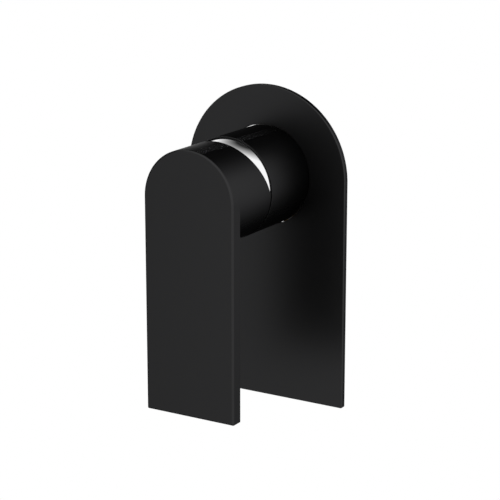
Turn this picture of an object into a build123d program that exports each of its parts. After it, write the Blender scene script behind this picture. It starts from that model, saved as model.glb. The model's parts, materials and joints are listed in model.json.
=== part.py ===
from build123d import *

import os
from math import atan2, cos, degrees, radians, sin, sqrt, tan

os.makedirs("parts", exist_ok=True)

# A wall-mounted single-lever shower mixer. Lengths are in millimetres and angles in degrees.
# X runs to the right as the user faces the wall, Y into the wall and Z up. The origin is where
# the valve's axis meets the finished wall. "Out" is the distance from the wall towards the
# user, so a point at out = 10 has y = -10, and a negative out lies inside the wall.

# Trim that the user sees
SLEEVE_RADIUS = 24.0
SLEEVE_OUT = 37.3
SLEEVE_END_GAP = 1.0
SLEEVE_WALL = 1.8
SLEEVE_LIP_WALL = 0.8
SLEEVE_LIP_DEPTH = 2.0
SLEEVE_LEAD_IN = 0.6
PLATE_HALF_WIDTH = 43.3
PLATE_DROP = 110.6
PLATE_THICKNESS = 2.6
PLATE_EDGE_RADIUS = 0.5
PLATE_CORNER_RADIUS = 1.0
PLATE_HOLE_CLEARANCE = 0.25
GASKET_INSET = 4.0
GASKET_WIDTH = 5.0
GASKET_THICKNESS = 1.0
SOFT_FIT = 0.05

# Handle: a round hub behind a flat arch-shaped lever
HUB_INSET = 0.4
HUB_RIM_GAP = 0.5
HUB_RIM_WALL = 0.5
REACH = 70.25
LEVER_DROP = 101.8
LEVER_THICKNESS = 6.1
LEVER_EDGE_RADIUS = 0.9
LEVER_CORNER_RADIUS = 0.5
PIVOT_BEHIND_SLEEVE_END = 7.1
WEDGE_AHEAD_OF_SLEEVE = 0.9
WEDGE_ANGLE = 20.8
LIFT_ANGLE = 20.0
HUB_POCKET_RADIUS = 14.0
HUB_POCKET_FLOOR = 4.0
BOSS_RADIUS = 7.5
BOSS_START = 14.0
GRUB_RIB_WIDTH = 9.0
GRUB_RIB_START = 21.2
SPINDLE_SQUARE = 8.0
SPINDLE_LENGTH = 28.0
SPINDLE_FIT = 0.05
SPINDLE_END_GAP = 1.0
SPINDLE_CHAMFER = 0.5
GRUB_RADIUS = 2.5
GRUB_LENGTH = 8.0
GRUB_FROM_PIVOT = 24.5
GRUB_KEY_SIZE = 2.5
GRUB_KEY_DEPTH = 3.0
SCREW_CAP_RADIUS = 2.9
SCREW_CAP_DEPTH = 3.0
THREAD_FIT = 0.05

# Chrome ball cap between the sleeve and the hub
BALL_GAP = 0.3
CAP_OPENING_RADIUS = 16.0
CAP_FLANGE_FIT = 0.1
CAP_SKIRT_FIT = 0.2
CAP_SKIRT_WALL = 1.1
CAP_SKIRT_LENGTH = 17.3
CAP_DOME_WALL = 2.4
CAP_EDGE_RADIUS = 0.4

# Cartridge: lengths named FROM_PIVOT run from the lever's pivot back towards the wall
CARTRIDGE_RADIUS = 17.5
CARTRIDGE_WALL = 2.2
NECK_WALL = 1.5
NECK_AHEAD_OF_PIVOT = 5.0
SHOULDER_FROM_PIVOT = 9.0
SHOULDER_THICKNESS = 2.0
SHOULDER_WIDTH = 4.5
ROTOR_AHEAD_OF_PIVOT = 7.0
ROTOR_FLANGE_FIT = 0.4
ROTOR_FLANGE_THICKNESS = 1.65
ROTOR_TOP_CHAMFER = 1.0
TURN_FIT = 0.1
WASHER_THICKNESS = 0.6
WASHER_FIT = 0.05
PIN_RADIUS = 1.5
PIN_FIT = 0.03
PIN_CHAMFER = 0.3
PIN_SHORTER_THAN_ROTOR = 0.6
EYE_RADIUS = 5.5
EYE_WIDTH = 9.0
EYE_FIT = 0.1
TAIL_LENGTH = 10.0
TAIL_RADIUS = 1.8
TAIL_BALL_RADIUS = 2.4
SWING_FIT = 0.25
DRIVER_WIDTH = 14.0
DRIVER_THICKNESS = 5.4
DRIVER_FIT = 0.1
DRIVER_PEG_RADIUS = 1.2
DRIVER_PEG_LENGTH = 1.2
DRIVER_PEG_OFFSET = 5.0
MOVING_DISC_SIDE_GAP = 0.6
MOVING_DISC_THICKNESS = 4.0
FIXED_DISC_THICKNESS = 4.5
DISC_EDGE = 0.3
DISC_FILM = 0.05
RECESS_WIDTH = 17.6
RECESS_HEIGHT = 8.6
RECESS_DEPTH = 2.0
RECESS_CORNER = 3.0
RECESS_ABOVE_AXIS = 1.0
INLET_X = 7.0
INLET_Z = -5.0
INLET_SPREAD = 20.0
INLET_WIDTH = 4.4
OUTLET_Z = 6.8
OUTLET_SPREAD = 30.0
OUTLET_WIDTH = 4.8
BASE_THICKNESS = 5.95
BASE_FLANGE_THICKNESS = 1.5
BASE_FIT = 0.1
BASE_PORT_RADIUS = 2.8
PEG_RADIUS = 1.5
PEG_LENGTH = 3.0
PEG_X = 12.5
PEG_Z = 5.0
SEAL_LOBE_RADIUS = 4.6
SEAL_WEB = 2.2
SEAL_THICKNESS = 1.2
BASE_RING_SECTION = 0.75
NOTCH_RADIUS = 1.5
NOTCH_FIT = 0.1

# Brass valve body, with its barrel in the sleeve and its ports inside the wall
BARREL_CLEARANCE = 0.6
BARREL_BEHIND_PIVOT = 2.0
CHAMBER_FIT = 0.1
NUT_LEDGE = 1.0
NUT_NECK_CLEARANCE = 0.4
NUT_HEAD_HEIGHT = 4.0
NUT_ACROSS_FLATS = 32.0
NUT_CHAMFER = 0.8
ORING_SECTION = 0.8
ORING_GROOVE_WIDTH = 2.4
ORING_FRONT_OUT = 14.0
ORING_BACK_OUT = 3.0
BODY_CLEARANCE = 0.7
BODY_EDGE = 1.0
BODY_BEHIND_PORTS = 3.0
PORT_DEPTH = 17.0
PORT_BORE_RADIUS = 9.3
PORT_BORE_DEPTH = 11.0
PORT_BOSS_RADIUS = 13.0
PORT_PROUD = 2.5
PORT_BLEND = 1.5
PORT_CHAMFER = 0.8
WATERWAY_RADIUS = 2.8
CROSS_WATERWAY_RADIUS = 2.6
BACK_HOLE_RADIUS = 2.1
BACK_HOLE_DEPTH = 8.0
BACK_HOLE_CIRCLE = 18.0
BACK_HOLE_COUNT = 4
PLUG_LENGTH = 9.0
PLUG_KEY_SIZE = 12.0
PLUG_KEY_DEPTH = 6.0
PLUG_RING_RADIUS = 7.3
PLUG_RING_SECTION = 0.9

# Places that follow from the sizes above
pivot_out = SLEEVE_OUT - PIVOT_BEHIND_SLEEVE_END
wedge_out = SLEEVE_OUT + WEDGE_AHEAD_OF_SLEEVE
hub_radius = SLEEVE_RADIUS - HUB_INSET
hub_rim_out = SLEEVE_OUT + HUB_RIM_GAP
lever_back_out = REACH - LEVER_THICKNESS
hub_pocket_end_out = lever_back_out - HUB_POCKET_FLOOR
socket_radius = sqrt((hub_radius - HUB_RIM_WALL)**2 + (hub_rim_out - pivot_out)**2)
ball_radius = socket_radius - BALL_GAP
sleeve_bore = SLEEVE_RADIUS - SLEEVE_WALL
lip_bore = SLEEVE_RADIUS - SLEEVE_LIP_WALL
cap_flange_radius = lip_bore - CAP_FLANGE_FIT
cap_skirt_radius = sleeve_bore - CAP_SKIRT_FIT
cap_inner_radius = cap_skirt_radius - CAP_SKIRT_WALL
cap_shoulder_out = SLEEVE_OUT - SLEEVE_LIP_DEPTH
cap_skirt_end_out = cap_shoulder_out - CAP_SKIRT_LENGTH
barrel_thread_radius = cap_inner_radius - THREAD_FIT
barrel_radius = sleeve_bore - BARREL_CLEARANCE
barrel_end_out = pivot_out - BARREL_BEHIND_PIVOT
groove_radius = sleeve_bore - 2 * ORING_SECTION
body_radius = sleeve_bore - BODY_CLEARANCE
shoulder_out = pivot_out - SHOULDER_FROM_PIVOT
neck_end_out = pivot_out + NECK_AHEAD_OF_PIVOT
cavity_radius = CARTRIDGE_RADIUS - CARTRIDGE_WALL
cavity_top_out = shoulder_out - SHOULDER_THICKNESS
rotor_flange_radius = cavity_radius - ROTOR_FLANGE_FIT
neck_radius = CARTRIDGE_RADIUS - SHOULDER_WIDTH
neck_bore = neck_radius - NECK_WALL
rotor_radius = neck_bore - TURN_FIT
rotor_flange_top_out = cavity_top_out - WASHER_THICKNESS - WASHER_FIT
rotor_bottom_out = rotor_flange_top_out - ROTOR_FLANGE_THICKNESS
tail_out = pivot_out - TAIL_LENGTH
moving_disc_top_out = rotor_bottom_out - 2 * DRIVER_FIT
moving_disc_bottom_out = moving_disc_top_out - MOVING_DISC_THICKNESS
fixed_disc_top_out = moving_disc_bottom_out - DISC_FILM
fixed_disc_bottom_out = fixed_disc_top_out - FIXED_DISC_THICKNESS
chamber_floor_out = fixed_disc_bottom_out - BASE_THICKNESS
base_flange_top_out = chamber_floor_out + BASE_FLANGE_THICKNESS
chamber_radius = CARTRIDGE_RADIUS + CHAMBER_FIT
nut_radius = CARTRIDGE_RADIUS + NUT_LEDGE
disc_travel = TAIL_LENGTH * sin(radians(LIFT_ANGLE))
disc_rest_z = disc_travel / 2
moving_disc_radius = cavity_radius - disc_rest_z - MOVING_DISC_SIDE_GAP
port_out = -PORT_DEPTH
body_back_out = port_out - PORT_BOSS_RADIUS - BODY_BEHIND_PORTS
port_reach = body_radius + PORT_PROUD
port_floor = port_reach - PORT_BORE_DEPTH
inlet_radius = sqrt(INLET_X**2 + INLET_Z**2)
water_ports = [(-INLET_X, INLET_Z), (INLET_X, INLET_Z), (0, OUTLET_Z)]
MARGIN = 1.0


def slab(sketch, start, end):
    """A flat outline made thick along the valve's axis, between two distances out."""
    return extrude(Plane.XZ.offset(start) * sketch, end - start)


def drum(radius, start, end, x=0, z=0):
    """A round bar along the valve's axis, between two distances out."""
    return slab(Pos(x, z) * Circle(radius), start, end)


def cross_bar(radius, start_x, end_x, out, z=0):
    """A round bar along X."""
    return extrude(Plane.YZ.offset(start_x) * Pos(-out, z) * Circle(radius), end_x - start_x)


def upright(radius, start_z, end_z, out, x=0):
    """A round bar along Z."""
    return extrude(Plane.XY.offset(start_z) * Pos(x, -out) * Circle(radius), end_z - start_z)


def turned(*profile):
    """A solid turned about the valve's axis, from points of radius and distance out."""
    outline = Polyline(*[(radius, -out) for radius, out in profile], close=True)
    return revolve(make_face(outline), Axis.Y)


def side_profile(width, *profile):
    """A prism across X, centred on the axis, from points of distance out and height."""
    outline = Polyline(*[(-out, z) for out, z in profile], close=True)
    return extrude(Plane.YZ.offset(-width / 2) * make_face(outline), width)


def ring(major, section, out, x=0, z=0):
    """A rubber ring lying square to the valve's axis."""
    return Pos(x, -out, z) * Rot(90, 0, 0) * Torus(major, section)


def ball(radius):
    """A ball about the lever's pivot."""
    return Pos(0, -pivot_out, 0) * Sphere(radius)


def arch(half_width, drop, corner_radius=0.0):
    """A half circle about the valve's axis over straight sides and a level foot."""
    outline = Circle(half_width) + Pos(0, -drop / 2) * Rectangle(2 * half_width, drop)
    if corner_radius:
        outline = fillet(outline.vertices().group_by(Axis.Y)[0], corner_radius)
    return outline


def front_edges(solid):
    """The edges round the face nearest the user."""
    return solid.faces().sort_by(Axis.Y)[0].outer_wire().edges()


def make_cover_plate():
    plate = slab(arch(PLATE_HALF_WIDTH, PLATE_DROP, PLATE_CORNER_RADIUS), 0, PLATE_THICKNESS)
    plate = fillet(front_edges(plate), PLATE_EDGE_RADIUS)
    plate -= drum(SLEEVE_RADIUS + PLATE_HOLE_CLEARANCE, -MARGIN, PLATE_THICKNESS + MARGIN)
    return plate - slab(gasket_outline(), 0, GASKET_THICKNESS)


def gasket_outline(fit=0.0):
    outer = arch(PLATE_HALF_WIDTH - GASKET_INSET - fit, PLATE_DROP - GASKET_INSET - fit)
    inner_inset = GASKET_INSET + GASKET_WIDTH - fit
    return outer - arch(PLATE_HALF_WIDTH - inner_inset, PLATE_DROP - inner_inset)


def make_plate_gasket():
    return slab(gasket_outline(SOFT_FIT), 0, GASKET_THICKNESS)


def make_sleeve():
    back = port_out + PORT_BOSS_RADIUS + SLEEVE_END_GAP
    return turned(
        (sleeve_bore + SLEEVE_LEAD_IN, back),
        (SLEEVE_RADIUS, back),
        (SLEEVE_RADIUS, SLEEVE_OUT),
        (lip_bore, SLEEVE_OUT),
        (lip_bore, cap_shoulder_out),
        (sleeve_bore, cap_shoulder_out),
        (sleeve_bore, back + 2 * SLEEVE_LEAD_IN),
    )


def make_sleeve_seals():
    centre = groove_radius + ORING_SECTION
    return [ring(centre, ORING_SECTION, out) for out in (ORING_FRONT_OUT, ORING_BACK_OUT)]


def make_ball_cap():
    """A hollow ball with a flange that holds the sleeve and a threaded skirt inside it."""
    crown_out = pivot_out + ball_radius
    dome = ball(ball_radius) & drum(cap_flange_radius, cap_shoulder_out, crown_out)
    skirt = drum(cap_skirt_radius, cap_skirt_end_out, cap_shoulder_out)
    hollow = ball(ball_radius - CAP_DOME_WALL) & drum(cap_inner_radius, pivot_out, crown_out)
    hollow += drum(cap_inner_radius, cap_skirt_end_out - MARGIN, pivot_out)
    opening = drum(CAP_OPENING_RADIUS, pivot_out, crown_out)
    cap = dome + skirt - hollow - opening
    rim = cap.edges().filter_by(GeomType.CIRCLE).sort_by(Axis.Y)[0]
    return fillet(rim, CAP_EDGE_RADIUS)


def lever_wedge():
    """The space left behind the hub's upper half, so that the handle can tilt back."""
    slope = tan(radians(WEDGE_ANGLE))
    apex_z = (hub_rim_out - wedge_out) / slope
    top_z = hub_radius + MARGIN
    return side_profile(
        2 * top_z,
        (hub_rim_out, apex_z),
        (wedge_out + slope * top_z, top_z),
        (hub_rim_out - MARGIN, top_z),
        (hub_rim_out - MARGIN, apex_z),
    )


def make_handle():
    lever = slab(arch(hub_radius, LEVER_DROP, LEVER_CORNER_RADIUS), lever_back_out, REACH)
    lever = fillet(front_edges(lever), LEVER_EDGE_RADIUS)
    hub = drum(hub_radius, hub_rim_out, lever_back_out) - lever_wedge()
    pocket = drum(HUB_POCKET_RADIUS, pivot_out, hub_pocket_end_out)
    boss = drum(BOSS_RADIUS, pivot_out + BOSS_START, hub_pocket_end_out)
    rib_height = HUB_POCKET_RADIUS + MARGIN
    rib_shape = Pos(0, -rib_height / 2) * Rectangle(GRUB_RIB_WIDTH, rib_height)
    rib = slab(rib_shape, pivot_out + GRUB_RIB_START, hub_pocket_end_out)
    square = SPINDLE_SQUARE + 2 * SPINDLE_FIT
    square_end_out = pivot_out + SPINDLE_LENGTH + SPINDLE_END_GAP
    spindle_hole = slab(Rectangle(square, square), pivot_out + BOSS_START, square_end_out)
    grub_out = pivot_out + GRUB_FROM_PIVOT
    grub_hole = upright(GRUB_RADIUS, -hub_radius, 0, grub_out)
    cap_hole = upright(SCREW_CAP_RADIUS, -hub_radius - MARGIN, screw_cap_top_z(), grub_out)
    casting = lever + hub - ball(socket_radius) - pocket + boss + rib
    return casting - spindle_hole - grub_hole - cap_hole


def screw_cap_top_z():
    return SCREW_CAP_DEPTH - hub_radius


def make_grub_screw():
    grub_out = pivot_out + GRUB_FROM_PIVOT
    tip_z = -SPINDLE_SQUARE / 2
    screw = upright(GRUB_RADIUS - THREAD_FIT, tip_z - GRUB_LENGTH, tip_z, grub_out)
    key_plane = Plane.XY.offset(tip_z - GRUB_LENGTH) * Pos(0, -grub_out)
    key = RegularPolygon(GRUB_KEY_SIZE / 2, 6, major_radius=False)
    return screw - extrude(key_plane * key, GRUB_KEY_DEPTH)


def make_screw_cap():
    """A soft plug that follows the hub's round underside."""
    grub_out = pivot_out + GRUB_FROM_PIVOT
    plug = upright(SCREW_CAP_RADIUS - THREAD_FIT, -hub_radius, screw_cap_top_z(), grub_out)
    return plug & drum(hub_radius, hub_rim_out, REACH)


def make_spindle():
    """A square lever on a round eye, with a ball-ended tail that moves the disc driver."""
    shank = slab(Rectangle(SPINDLE_SQUARE, SPINDLE_SQUARE), pivot_out, pivot_out + SPINDLE_LENGTH)
    shank = chamfer(front_edges(shank), SPINDLE_CHAMFER)
    eye = cross_bar(EYE_RADIUS, -EYE_WIDTH / 2, EYE_WIDTH / 2, pivot_out)
    tail = drum(TAIL_RADIUS, tail_out, pivot_out)
    tail_ball = Pos(0, -tail_out, 0) * Sphere(TAIL_BALL_RADIUS)
    pin_hole = cross_bar(PIN_RADIUS + PIN_FIT, -EYE_WIDTH, EYE_WIDTH, pivot_out)
    return shank + eye + tail + tail_ball - pin_hole


def make_pivot_pin():
    half = rotor_radius - PIN_SHORTER_THAN_ROTOR
    pin = cross_bar(PIN_RADIUS, -half, half, pivot_out)
    return chamfer(pin.edges().filter_by(GeomType.CIRCLE), PIN_CHAMFER)


def swing_space():
    """The slot that the spindle sweeps from its rest to its full lift."""
    width = EYE_WIDTH + 2 * EYE_FIT
    lean = radians(LIFT_ANGLE)
    shank_half = SPINDLE_SQUARE / 2 + SWING_FIT
    tail_half = TAIL_BALL_RADIUS + SWING_FIT
    front = ROTOR_AHEAD_OF_PIVOT + MARGIN
    front_slot = side_profile(
        width,
        (pivot_out, -shank_half),
        (pivot_out + front, -shank_half),
        (pivot_out + front, front * tan(lean) + shank_half / cos(lean)),
        (pivot_out, shank_half / cos(lean)),
    )
    tail_slot = side_profile(
        width,
        (pivot_out, tail_half),
        (tail_out, tail_half),
        (tail_out, -TAIL_LENGTH * tan(lean) - tail_half / cos(lean)),
        (pivot_out, -tail_half / cos(lean)),
    )
    eye = cross_bar(EYE_RADIUS + EYE_FIT, -width / 2, width / 2, pivot_out)
    return front_slot + tail_slot + eye


def make_rotor():
    """The turning carrier that holds the lever's pin and guides the disc driver."""
    top = pivot_out + ROTOR_AHEAD_OF_PIVOT
    rotor = turned(
        (0, rotor_bottom_out),
        (rotor_flange_radius, rotor_bottom_out),
        (rotor_flange_radius, rotor_flange_top_out),
        (rotor_radius, rotor_flange_top_out),
        (rotor_radius, top - ROTOR_TOP_CHAMFER),
        (rotor_radius - ROTOR_TOP_CHAMFER, top),
        (0, top),
    )
    channel_width = DRIVER_WIDTH + 2 * DRIVER_FIT
    channel_top_out = moving_disc_top_out + DRIVER_THICKNESS + 2 * DRIVER_FIT
    channel_shape = Rectangle(channel_width, 2 * rotor_flange_radius + MARGIN)
    channel = slab(channel_shape, rotor_bottom_out, channel_top_out)
    pin_hole = cross_bar(PIN_RADIUS, -rotor_radius, rotor_radius, pivot_out)
    return rotor - channel - swing_space() - pin_hole


def make_glide_washer():
    inner = rotor_radius + TURN_FIT + WASHER_FIT
    washer = drum(rotor_flange_radius - WASHER_FIT, cavity_top_out - WASHER_THICKNESS, cavity_top_out)
    return washer - drum(inner, cavity_top_out - MARGIN, cavity_top_out + MARGIN)


def driver_pegs(radius, length):
    """The two studs that key the driver to the moving disc."""
    start = moving_disc_top_out - length
    peg_z = disc_rest_z - DRIVER_PEG_OFFSET
    return [
        drum(radius, start, moving_disc_top_out, side * DRIVER_PEG_OFFSET, peg_z)
        for side in (-1, 1)
    ]


def make_disc_driver():
    """The sliding block with a slot for the spindle's tail."""
    top_out = moving_disc_top_out + DRIVER_THICKNESS
    block = slab(Pos(0, disc_rest_z) * Rectangle(DRIVER_WIDTH, DRIVER_WIDTH), moving_disc_top_out, top_out)
    slot_half = TAIL_BALL_RADIUS + DRIVER_FIT
    slot_bottom_out = tail_out - TAIL_BALL_RADIUS - DRIVER_FIT
    slot = slab(Rectangle(2 * slot_half, 2 * slot_half), slot_bottom_out, top_out)
    for peg in driver_pegs(DRIVER_PEG_RADIUS, DRIVER_PEG_LENGTH):
        block += peg
    return block - slot


def make_moving_disc():
    """The ceramic disc whose blind recess joins the inlets to the outlet when it slides down."""
    disc = drum(moving_disc_radius, moving_disc_bottom_out, moving_disc_top_out, 0, disc_rest_z)
    disc = chamfer(disc.edges().filter_by(GeomType.CIRCLE), DISC_EDGE)
    recess = fillet(Rectangle(RECESS_WIDTH, RECESS_HEIGHT).vertices(), RECESS_CORNER)
    recess_z = RECESS_ABOVE_AXIS + RECESS_HEIGHT / 2
    disc -= slab(Pos(0, recess_z) * recess, moving_disc_bottom_out, moving_disc_bottom_out + RECESS_DEPTH)
    for hole in driver_pegs(DRIVER_PEG_RADIUS + DRIVER_FIT, DRIVER_PEG_LENGTH + DRIVER_FIT):
        disc -= hole
    return disc


def disc_port(radius, angle, spread, width):
    """A kidney-shaped port on an arc about the valve's axis."""
    return SlotArc(CenterArc((0, 0), radius, angle - spread, 2 * spread), width)


def make_fixed_disc():
    """The ceramic disc with two inlet ports below and one outlet port above."""
    disc = drum(cavity_radius - BASE_FIT, fixed_disc_bottom_out, fixed_disc_top_out)
    disc = chamfer(disc.edges().filter_by(GeomType.CIRCLE), DISC_EDGE)
    inlet_angle = degrees(atan2(INLET_Z, INLET_X))
    ports = disc_port(inlet_radius, inlet_angle, INLET_SPREAD, INLET_WIDTH)
    ports += disc_port(inlet_radius, 180 - inlet_angle, INLET_SPREAD, INLET_WIDTH)
    ports += disc_port(OUTLET_Z, 90, OUTLET_SPREAD, OUTLET_WIDTH)
    disc -= slab(ports, fixed_disc_bottom_out - MARGIN, fixed_disc_top_out + MARGIN)
    for side in (-1, 1):
        notch_x = side * cavity_radius
        disc -= drum(NOTCH_RADIUS + NOTCH_FIT, fixed_disc_bottom_out, fixed_disc_top_out, notch_x)
    return disc


def seal_outline(fit=0.0):
    """Three round lobes about the water ports, tied by a triangle of webs."""
    corners = water_ports + water_ports[:1]
    webs = [Line(a, b) for a, b in zip(corners[:-1], corners[1:])]
    outline = Sketch()
    for web in webs:
        outline += SlotArc(web, SEAL_WEB - 2 * fit)
    for x, z in water_ports:
        outline += Pos(x, z) * Circle(SEAL_LOBE_RADIUS - fit)
    return outline


def make_disc_seal():
    seal = slab(seal_outline(SOFT_FIT), fixed_disc_bottom_out - SEAL_THICKNESS, fixed_disc_bottom_out)
    for x, z in water_ports:
        seal -= drum(BASE_PORT_RADIUS, chamber_floor_out, fixed_disc_bottom_out, x, z)
    return seal


def locating_pegs(radius, length):
    """The two pegs under the cartridge that set it square in the valve body."""
    start = chamber_floor_out - length
    return [drum(radius, start, chamber_floor_out, side * PEG_X, PEG_Z) for side in (-1, 1)]


def make_cartridge_base():
    base = turned(
        (0, chamber_floor_out),
        (CARTRIDGE_RADIUS, chamber_floor_out),
        (CARTRIDGE_RADIUS, base_flange_top_out),
        (cavity_radius - BASE_FIT, base_flange_top_out),
        (cavity_radius - BASE_FIT, fixed_disc_bottom_out),
        (0, fixed_disc_bottom_out),
    )
    for peg in locating_pegs(PEG_RADIUS, PEG_LENGTH):
        base += peg
    base -= slab(seal_outline(), fixed_disc_bottom_out - SEAL_THICKNESS, fixed_disc_bottom_out)
    for x, z in water_ports:
        base -= drum(BASE_PORT_RADIUS, chamber_floor_out, fixed_disc_bottom_out, x, z)
        base -= drum(SEAL_LOBE_RADIUS, chamber_floor_out, chamber_floor_out + 2 * BASE_RING_SECTION, x, z)
    return base


def make_base_seals():
    centre = SEAL_LOBE_RADIUS - BASE_RING_SECTION
    middle_out = chamber_floor_out + BASE_RING_SECTION
    return [ring(centre, BASE_RING_SECTION, middle_out, x, z) for x, z in water_ports]


def make_cartridge_housing():
    """The stepped plastic case, with a neck for the rotor and two ribs that key the fixed disc."""
    housing = turned(
        (cavity_radius, base_flange_top_out),
        (CARTRIDGE_RADIUS, base_flange_top_out),
        (CARTRIDGE_RADIUS, shoulder_out),
        (neck_radius, shoulder_out),
        (neck_radius, neck_end_out),
        (neck_bore, neck_end_out),
        (neck_bore, cavity_top_out),
        (cavity_radius, cavity_top_out),
    )
    for side in (-1, 1):
        rib = drum(NOTCH_RADIUS, fixed_disc_bottom_out, fixed_disc_top_out, side * cavity_radius)
        housing += rib & drum(CARTRIDGE_RADIUS, fixed_disc_bottom_out, fixed_disc_top_out)
    return housing


def make_cartridge_nut():
    """The threaded ring that clamps the cartridge by its shoulder, with a hexagon for the wrench."""
    bore = neck_radius + NUT_NECK_CLEARANCE
    head_out = barrel_end_out + NUT_HEAD_HEIGHT
    thread = drum(nut_radius - THREAD_FIT, shoulder_out, barrel_end_out)
    hexagon = slab(RegularPolygon(NUT_ACROSS_FLATS / 2, 6, major_radius=False), barrel_end_out, head_out)
    rounded = turned(
        (0, barrel_end_out),
        (nut_radius, barrel_end_out),
        (nut_radius, head_out - NUT_CHAMFER),
        (nut_radius - 2 * NUT_CHAMFER, head_out),
        (0, head_out),
    )
    return thread + (hexagon & rounded) - drum(bore, shoulder_out - MARGIN, head_out + MARGIN)


def make_valve_body():
    """A brass casting: barrel and cartridge chamber in front, four ports inside the wall."""
    groove_half = ORING_GROOVE_WIDTH / 2
    body = turned(
        (0, body_back_out),
        (body_radius - BODY_EDGE, body_back_out),
        (body_radius, body_back_out + BODY_EDGE),
        (body_radius, ORING_BACK_OUT - groove_half - MARGIN),
        (barrel_radius, ORING_BACK_OUT - groove_half - MARGIN),
        (barrel_radius, ORING_BACK_OUT - groove_half),
        (groove_radius, ORING_BACK_OUT - groove_half),
        (groove_radius, ORING_BACK_OUT + groove_half),
        (barrel_radius, ORING_BACK_OUT + groove_half),
        (barrel_radius, ORING_FRONT_OUT - groove_half),
        (groove_radius, ORING_FRONT_OUT - groove_half),
        (groove_radius, ORING_FRONT_OUT + groove_half),
        (barrel_radius, ORING_FRONT_OUT + groove_half),
        (barrel_radius, cap_skirt_end_out - MARGIN),
        (barrel_thread_radius, cap_skirt_end_out - MARGIN),
        (barrel_thread_radius, barrel_end_out),
        (nut_radius, barrel_end_out),
        (nut_radius, shoulder_out),
        (chamber_radius, shoulder_out),
        (chamber_radius, chamber_floor_out),
        (0, chamber_floor_out),
    )
    body += cross_bar(PORT_BOSS_RADIUS, -port_reach, port_reach, port_out)
    body += upright(PORT_BOSS_RADIUS, -port_reach, port_reach, port_out)
    body = fillet(port_roots(body), PORT_BLEND)
    body -= drum(chamber_radius, chamber_floor_out, shoulder_out)
    for direction in (-1, 1):
        floor, mouth = direction * port_floor, direction * port_reach
        body -= cross_bar(PORT_BORE_RADIUS, floor, mouth, port_out)
        body -= upright(PORT_BORE_RADIUS, floor, mouth, port_out)
        inlet_x = direction * INLET_X
        body -= cross_bar(WATERWAY_RADIUS, inlet_x, floor + direction * MARGIN, port_out, INLET_Z)
    body -= upright(CROSS_WATERWAY_RADIUS, -port_floor - MARGIN, port_floor + MARGIN, port_out)
    for x, z in water_ports:
        body -= drum(WATERWAY_RADIUS, port_out, chamber_floor_out, x, z)
    for hole in locating_pegs(PEG_RADIUS + BASE_FIT, PEG_LENGTH + BASE_FIT):
        body -= hole
    for index in range(BACK_HOLE_COUNT):
        angle = radians(360 / BACK_HOLE_COUNT * (index + 0.5))
        x, z = BACK_HOLE_CIRCLE * cos(angle), BACK_HOLE_CIRCLE * sin(angle)
        body -= drum(BACK_HOLE_RADIUS, body_back_out, body_back_out + BACK_HOLE_DEPTH, x, z)
    return chamfer(port_mouths(body), PORT_CHAMFER)


def port_roots(body):
    """The curved edges where the port bosses leave the round body."""
    curved = [edge for edge in body.edges() if edge.geom_type not in (GeomType.CIRCLE, GeomType.LINE)]
    return [edge for edge in curved if edge.center().Y > -port_out - PORT_BOSS_RADIUS - MARGIN]


def port_mouths(body):
    """The round inner edges at the four port faces."""
    rims = body.edges().filter_by(GeomType.CIRCLE)
    rims = [rim for rim in rims if abs(rim.radius - PORT_BORE_RADIUS) < PORT_CHAMFER / 2]
    rims = [rim for rim in rims if abs(rim.arc_center.Y + port_out) < MARGIN]
    return [rim for rim in rims if reach(rim) > port_floor + MARGIN]


def reach(edge):
    """How far a round edge's centre lies from the valve's axis."""
    return sqrt(edge.arc_center.X**2 + edge.arc_center.Z**2)


def make_port_plug():
    """The flush plug that closes the lower outlet, with a hexagon socket."""
    top_z = PLUG_LENGTH - port_reach
    plug = upright(PORT_BORE_RADIUS - THREAD_FIT, -port_reach, top_z, port_out)
    key_plane = Plane.XY.offset(-port_reach) * Pos(0, -port_out)
    key = RegularPolygon(PLUG_KEY_SIZE / 2, 6, major_radius=False)
    return plug - extrude(key_plane * key, PLUG_KEY_DEPTH)


def make_plug_seal():
    middle_z = PLUG_LENGTH - port_reach + PLUG_RING_SECTION
    return Pos(0, -port_out, middle_z) * Torus(PLUG_RING_RADIUS, PLUG_RING_SECTION)


PARTS = {
    "handle": make_handle,
    "handle_grub_screw": make_grub_screw,
    "grub_screw_cap": make_screw_cap,
    "spindle": make_spindle,
    "cover_plate": make_cover_plate,
    "plate_gasket": make_plate_gasket,
    "sleeve": make_sleeve,
    "sleeve_seals": make_sleeve_seals,
    "ball_cap": make_ball_cap,
    "cartridge_nut": make_cartridge_nut,
    "cartridge_housing": make_cartridge_housing,
    "cartridge_rotor": make_rotor,
    "glide_washer": make_glide_washer,
    "pivot_pin": make_pivot_pin,
    "disc_driver": make_disc_driver,
    "moving_disc": make_moving_disc,
    "fixed_disc": make_fixed_disc,
    "disc_seal": make_disc_seal,
    "cartridge_base": make_cartridge_base,
    "base_seals": make_base_seals,
    "valve_body": make_valve_body,
    "outlet_plug": make_port_plug,
    "plug_seal": make_plug_seal,
}

for name, make in PARTS.items():
    shape = make()
    if isinstance(shape, list):
        shape = Compound(children=shape)
    export_step(shape, f"parts/{name}.step")
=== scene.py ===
"""A wall-mounted shower mixer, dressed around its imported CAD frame.

The black trim and the chrome ball cap are modelled here as fine meshes that stand for their CAD
nodes. The inner pieces keep their CAD shapes and get their finishes here. Lengths are in metres,
X to the right as the user faces the wall, Y into the wall and Z up, and the origin is where the
valve's axis meets the wall. "Out" is the distance from the wall towards the user, so out = -Y.
"""

import json
import math

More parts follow.
